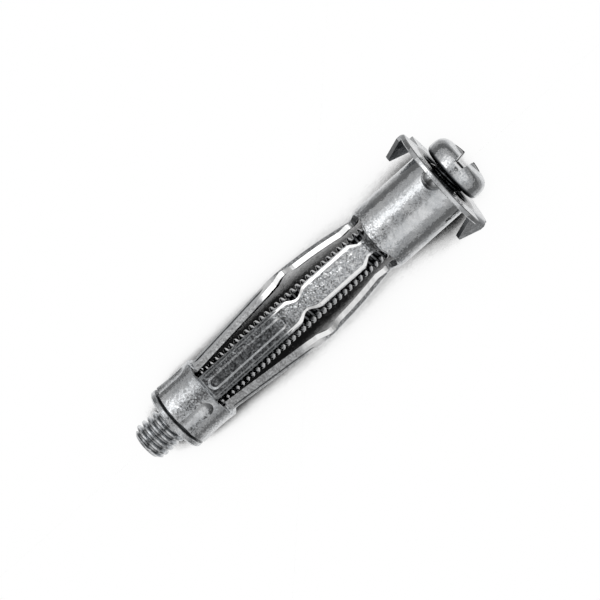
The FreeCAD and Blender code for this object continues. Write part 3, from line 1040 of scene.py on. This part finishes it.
def floor_material(colour):
    """Pale matte paper. The camera sees it near white, with the shadow under and close to the anchor,
    partly cast by the lamps and partly painted by darkening the paper where its sky is closed, and the
    metal sees a painted pool of light near the anchor that glows and falls off into the dark round it."""
    material, tree = new_tree("Pale matte paper")
    seen = add(tree, "ShaderNodeLightPath").outputs
    open_sky = add(tree, "ShaderNodeAmbientOcclusion", {"Distance": OPEN_REACH}, samples=OPEN_SAMPLES)
    open_sky = open_sky.outputs["AO"]
    # the paper's colour is darkened where its sky is closed: a painted shadow under and close to the anchor
    shade = ramp(tree, open_sky, OPEN_TO_SHADE)
    pale = add(tree, VECTORS, {0: linear(colour)[:3], "Scale": shade}, operation="SCALE")
    paper = add(tree, "ShaderNodeBsdfDiffuse", {"Color": pale})
    bright = linear("#FFFFFF")
    white = add(tree, "ShaderNodeEmission", {"Color": bright, "Strength": 1.0})
    whiten = ramp(tree, open_sky, OPEN_TO_WHITE)
    camera = add(tree, MATHS, (seen["Is Camera Ray"], whiten), operation="MULTIPLY")
    plain = add(tree, "ShaderNodeMixShader", (camera, paper, white))

    # the pool is painted light: the floor glows for the metal's reflections near the anchor
    place = add(tree, "ShaderNodeTexCoord").outputs["Object"]
    flat = add(tree, VECTORS, (place, POOL_SHAPE), operation="MULTIPLY")
    away = add(tree, VECTORS, (flat,), operation="LENGTH").outputs["Value"]
    pool = add(tree, "ShaderNodeEmission", {"Color": bright, "Strength": ramp(tree, away, POOL)})
    mirror = (seen["Is Glossy Ray"], seen["Is Transmission Ray"])
    mirror = add(tree, MATHS, mirror, operation="MAXIMUM")
    mirror = add(tree, MATHS, (mirror, POOL_STRENGTH), operation="MULTIPLY")
    surface = add(tree, "ShaderNodeMixShader", (mirror, plain, pool))
    add(tree, "ShaderNodeOutputMaterial", {"Surface": surface})
    return material


def light_tent(scene, stage, lens):
    """A light tent. Its walls differ by side, its roof is paler, the camera's lens makes a dark disc in
    the roof, and the walls end in a dark gap above the floor. lens points from the anchor at it."""
    world = bpy.data.worlds.new("Light tent")
    scene.world = world
    world.use_nodes = True
    tree = world.node_tree
    tree.nodes.clear()
    way = add(tree, "ShaderNodeTexCoord").outputs["Generated"]
    x, y, z = add(tree, "ShaderNodeSeparateXYZ", (way,)).outputs

    # each wall's share is the square of how far the direction points at it, out of all that is level
    sideways = add(tree, MATHS, (z, z), operation="MULTIPLY")
    sideways = add(tree, MATHS, (1.0, sideways), operation="SUBTRACT")
    sideways = add(tree, MATHS, (sideways, NEARLY_NONE), operation="MAXIMUM")
    walls = (
        (x, 1.0, stage.tip_wall),
        (x, -1.0, stage.head_wall),
        (y, -1.0, stage.key_wall),
        (y, 1.0, stage.soft_wall),
    )
    level = 0.0
    for part, sign, brightness in walls:
        share = add(tree, MATHS, (part, sign), operation="MULTIPLY")
        share = add(tree, MATHS, (share, 0.0), operation="MAXIMUM")
        share = add(tree, MATHS, (share, share), operation="MULTIPLY")
        share = add(tree, MATHS, (share, sideways), operation="DIVIDE")
        level = add(tree, MATHS, (share, brightness, level), operation="MULTIPLY_ADD")
    level = add(tree, MATHS, (level, ramp(tree, z, TENT_WALL)), operation="MULTIPLY")

    # the roof, the gap and the lens each cover what is behind them by their share
    roof = add(tree, MATHS, (ramp(tree, z, TENT_ROOF), ramp(tree, x, TENT_ROOF_END)), operation="MULTIPLY")
    at_lens = add(tree, VECTORS, (way, lens), operation="DOT_PRODUCT").outputs["Value"]
    covers = (
        (roof, stage.roof),
        (ramp(tree, z, TENT_GAP), stage.gap),
        (ramp(tree, at_lens, TENT_LENS), stage.lens_dark),
    )
    for share, brightness in covers:
        change = add(tree, MATHS, (brightness, level), operation="SUBTRACT")
        level = add(tree, MATHS, (change, share, level), operation="MULTIPLY_ADD")
    seen = add(tree, "ShaderNodeLightPath").outputs["Is Camera Ray"]
    bright = linear("#FFFFFF")
    tent = add(tree, "ShaderNodeBackground", {"Color": bright, "Strength": level})
    white = add(tree, "ShaderNodeBackground", {"Color": bright, "Strength": 1.0})
    surface = add(tree, "ShaderNodeMixShader", (seen, tent, white))
    add(tree, "ShaderNodeOutputWorld", {"Surface": surface})


def area_light(scene, name, place, target, size, power):
    """A soft square lamp that faces a point."""
    data = bpy.data.lights.new(name, "AREA")
    data.shape = "SQUARE"
    data.size = size
    data.energy = power
    lamp = bpy.data.objects.new(name, data)
    scene.collection.objects.link(lamp)
    lamp.location = place
    lamp.rotation_euler = (target - place).to_track_quat("-Z", "Y").to_euler()
    return lamp


class WALL_ANCHOR_OT_stage(bpy.types.Operator):
    """Makes the pale floor, the soft light and the camera"""

    bl_idname = "wall_anchor.stage"
    bl_label = "Stage"

    def execute(self, context):
        scene = context.scene
        stage, finish = scene.wall_anchor_stage, scene.wall_anchor_finish
        form = bmesh.new()
        bmesh.ops.create_grid(form, x_segments=2, y_segments=2, size=FLOOR_HALF)
        mesh = bpy.data.meshes.new("floor")
        form.to_mesh(mesh)
        form.free()
        mesh.materials.append(floor_material(finish.floor))
        floor = bpy.data.objects.new("floor", mesh)
        scene.collection.objects.link(floor)

        side = ACROSS * math.cos(stage.roll) + OUT * math.sin(stage.roll)
        front = OUT * math.cos(stage.roll) - ACROSS * math.sin(stage.roll)
        back = front * math.cos(stage.tilt) + ALONG * math.sin(stage.tilt)
        along = ALONG * math.cos(stage.tilt) - front * math.sin(stage.tilt)
        right = along * math.cos(stage.slant) - side * math.sin(stage.slant)
        up = along * math.sin(stage.slant) + side * math.cos(stage.slant)
        aim = FACE + ALONG * stage.aim_along + side * stage.aim_beside
        light_tent(scene, stage, back)
        area_light(scene, "key", KEY_PLACE, Vector(), KEY_SIZE, KEY_WATTS)

        data = bpy.data.cameras.new("camera")
        data.lens = stage.lens
        data.sensor_width = 36.0
        data.clip_start = 0.01
        data.clip_end = 100.0
        camera = bpy.data.objects.new("camera", data)
        scene.collection.objects.link(camera)
        turn = Matrix((right, up, back)).transposed()
        camera.matrix_world = Matrix.Translation(aim + back * stage.distance) @ turn.to_4x4()
        scene.camera = camera
        scene.view_settings.view_transform = "Standard"
        return {"FINISHED"}


class WALL_ANCHOR_PT_panel(bpy.types.Panel):
    """Lists the anchor's pieces"""

    bl_idname = "WALL_ANCHOR_PT_panel"
    bl_label = "Hollow wall anchor"
    bl_space_type = "VIEW_3D"
    bl_region_type = "UI"
    bl_category = "Wall Anchor"

    def draw(self, context):
        for step in STEPS:
            self.layout.operator(step)


STEPS = ("wall_anchor.screw", "wall_anchor.sleeve", "wall_anchor.bush", "wall_anchor.stage")
GROUPS = {
    "wall_anchor_thread": WallAnchorThread,
    "wall_anchor_head": WallAnchorHead,
    "wall_anchor_finish": WallAnchorFinish,
    "wall_anchor_stage": WallAnchorStage,
}
OPERATORS = (WALL_ANCHOR_OT_screw, WALL_ANCHOR_OT_sleeve, WALL_ANCHOR_OT_bush, WALL_ANCHOR_OT_stage)


def register():
    """Adds the anchor's settings to the scene, and its operators and panel to Blender."""
    for name, group in GROUPS.items():
        bpy.utils.register_class(group)
        setattr(bpy.types.Scene, name, bpy.props.PointerProperty(type=group))
    for kind in (*OPERATORS, WALL_ANCHOR_PT_panel):
        bpy.utils.register_class(kind)


def unregister():
    """Takes the panel, the operators and the settings away again."""
    for kind in (WALL_ANCHOR_PT_panel, *reversed(OPERATORS)):
        bpy.utils.unregister_class(kind)
    for name, group in GROUPS.items():
        delattr(bpy.types.Scene, name)
        bpy.utils.unregister_class(group)


def main():
    """Makes every piece in order."""
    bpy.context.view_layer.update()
    register()
    bpy.ops.wall_anchor.screw()
    bpy.ops.wall_anchor.sleeve()
    bpy.ops.wall_anchor.bush()
    bpy.ops.wall_anchor.stage()


if __name__ == "__main__":
    main()
